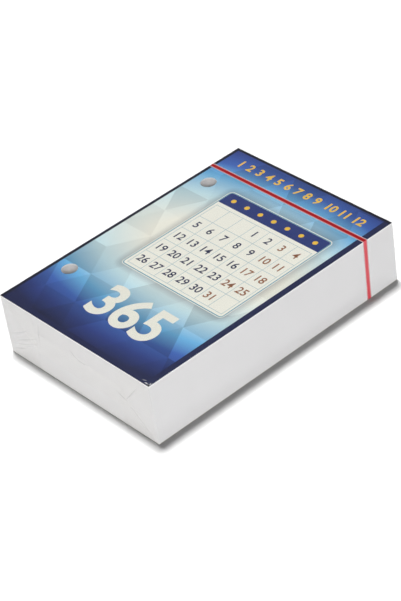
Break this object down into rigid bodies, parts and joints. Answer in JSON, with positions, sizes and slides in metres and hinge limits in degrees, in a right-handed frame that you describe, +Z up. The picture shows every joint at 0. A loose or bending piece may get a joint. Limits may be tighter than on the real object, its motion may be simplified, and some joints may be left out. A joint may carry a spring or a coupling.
{
  "type": "tear-off calendar block",
  "caption": "Block of punched day leaves with a printed cover, for a two-ring desk stand, sealed in clear film with a red tear tape.",
  "frame": {"origin": "on the table under the middle of the leaves", "axes": "+X from the punched left edge to the right edge, +Y from the front end to the back end, +Z up through the cover"},
  "size_m": [0.0831, 0.1204, 0.0261],
  "materials": {
    "cover_print": "satin",
    "leaf_paper": "matte",
    "back_board": "matte",
    "clear_film": "gloss",
    "red_tape": "gloss"
  },
  "bodies": {
    "base": {"back_card": "back_board", "december_leaves": "leaf_paper"},
    "november": {"november_leaves": "leaf_paper"},
    "october": {"october_leaves": "leaf_paper"},
    "september": {"september_leaves": "leaf_paper"},
    "august": {"august_leaves": "leaf_paper"},
    "july": {"july_leaves": "leaf_paper"},
    "june": {"june_leaves": "leaf_paper"},
    "may": {"may_leaves": "leaf_paper"},
    "april": {"april_leaves": "leaf_paper"},
    "march": {"march_leaves": "leaf_paper"},
    "february": {"february_leaves": "leaf_paper"},
    "january": {"january_leaves": "leaf_paper"},
    "cover": {"front_cover": "cover_print"},
    "sleeve": {"sleeve_top_film": "clear_film", "sleeve_base_film": "clear_film", "sleeve_right_film": "clear_film", "sleeve_inner_lap": "clear_film", "sleeve_outer_lap": "clear_film", "front_left_tuck": "clear_film", "front_right_tuck": "clear_film", "front_lower_flap": "clear_film", "front_upper_flap": "clear_film"},
    "tape": {"tear_tape": "red_tape"},
    "tab": {"tear_tab": "red_tape"},
    "cap": {"cap_top_film": "clear_film", "cap_base_film": "clear_film", "cap_right_film": "clear_film", "cap_inner_lap": "clear_film", "cap_outer_lap": "clear_film", "back_left_tuck": "clear_film", "back_right_tuck": "clear_film", "back_lower_flap": "clear_film", "back_upper_flap": "clear_film"}
  },
  "joints": [
    {"name": "november_turn", "type": "hinge", "parent": "base", "child": "november", "pos_m": [-0.0415, 0, 0.00252], "axis": [0, -1, 0], "range_deg": [0, 14], "deforming": ["sleeve_top_film", "sleeve_base_film", "sleeve_right_film", "sleeve_inner_lap", "sleeve_outer_lap", "front_left_tuck", "front_right_tuck", "front_lower_flap", "front_upper_flap", "cap_top_film", "cap_base_film", "cap_right_film", "cap_inner_lap", "cap_outer_lap", "back_left_tuck", "back_right_tuck", "back_lower_flap", "back_upper_flap", "tear_tape", "tear_tab"]},
    {"name": "october_turn", "type": "hinge", "parent": "november", "child": "october", "pos_m": [-0.0415, 0, 0.00462], "axis": [0, -1, 0], "range_deg": [0, 14]},
    {"name": "september_turn", "type": "hinge", "parent": "october", "child": "september", "pos_m": [-0.0415, 0, 0.00679], "axis": [0, -1, 0], "range_deg": [0, 14]},
    {"name": "august_turn", "type": "hinge", "parent": "september", "child": "august", "pos_m": [-0.0415, 0, 0.00889], "axis": [0, -1, 0], "range_deg": [0, 14]},
    {"name": "july_turn", "type": "hinge", "parent": "august", "child": "july", "pos_m": [-0.0415, 0, 0.01106], "axis": [0, -1, 0], "range_deg": [0, 14]},
    {"name": "june_turn", "type": "hinge", "parent": "july", "child": "june", "pos_m": [-0.0415, 0, 0.01323], "axis": [0, -1, 0], "range_deg": [0, 14]},
    {"name": "may_turn", "type": "hinge", "parent": "june", "child": "may", "pos_m": [-0.0415, 0, 0.01533], "axis": [0, -1, 0], "range_deg": [0, 14]},
    {"name": "april_turn", "type": "hinge", "parent": "may", "child": "april", "pos_m": [-0.0415, 0, 0.0175], "axis": [0, -1, 0], "range_deg": [0, 14]},
    {"name": "march_turn", "type": "hinge", "parent": "april", "child": "march", "pos_m": [-0.0415, 0, 0.0196], "axis": [0, -1, 0], "range_deg": [0, 14]},
    {"name": "february_turn", "type": "hinge", "parent": "march", "child": "february", "pos_m": [-0.0415, 0, 0.02177], "axis": [0, -1, 0], "range_deg": [0, 14]},
    {"name": "january_turn", "type": "hinge", "parent": "february", "child": "january", "pos_m": [-0.0415, 0, 0.02373], "axis": [0, -1, 0], "range_deg": [0, 14]},
    {"name": "cover_turn", "type": "hinge", "parent": "january", "child": "cover", "pos_m": [-0.0415, 0, 0.0259], "axis": [0, -1, 0], "range_deg": [0, 14]},
    {"name": "sleeve_pull", "type": "slide", "parent": "base", "child": "sleeve", "axis": [0, -1, 0], "range_m": [0, 0.125]},
    {"name": "tape_pull", "type": "slide", "parent": "base", "child": "tape", "axis": [0, 1, 0], "range_m": [0, 0.02]},
    {"name": "cap_pull", "type": "slide", "parent": "tape", "child": "cap", "axis": [0, 1, 0], "range_m": [0, 0.03]},
    {"name": "tab_lift", "type": "hinge", "parent": "tape", "child": "tab", "pos_m": [-0.0416, 0.0456, 0.01307], "axis": [0, 1, 0], "range_deg": [0, 150]}
  ],
  "couplings": [
    {"joint": "october_turn", "follows": "november_turn", "ratio": 1},
    {"joint": "september_turn", "follows": "november_turn", "ratio": 1},
    {"joint": "august_turn", "follows": "november_turn", "ratio": 1},
    {"joint": "july_turn", "follows": "november_turn", "ratio": 1},
    {"joint": "june_turn", "follows": "november_turn", "ratio": 1},
    {"joint": "may_turn", "follows": "november_turn", "ratio": 1},
    {"joint": "april_turn", "follows": "november_turn", "ratio": 1},
    {"joint": "march_turn", "follows": "november_turn", "ratio": 1},
    {"joint": "february_turn", "follows": "november_turn", "ratio": 1},
    {"joint": "january_turn", "follows": "november_turn", "ratio": 1},
    {"joint": "cover_turn", "follows": "november_turn", "ratio": 1}
  ]
}
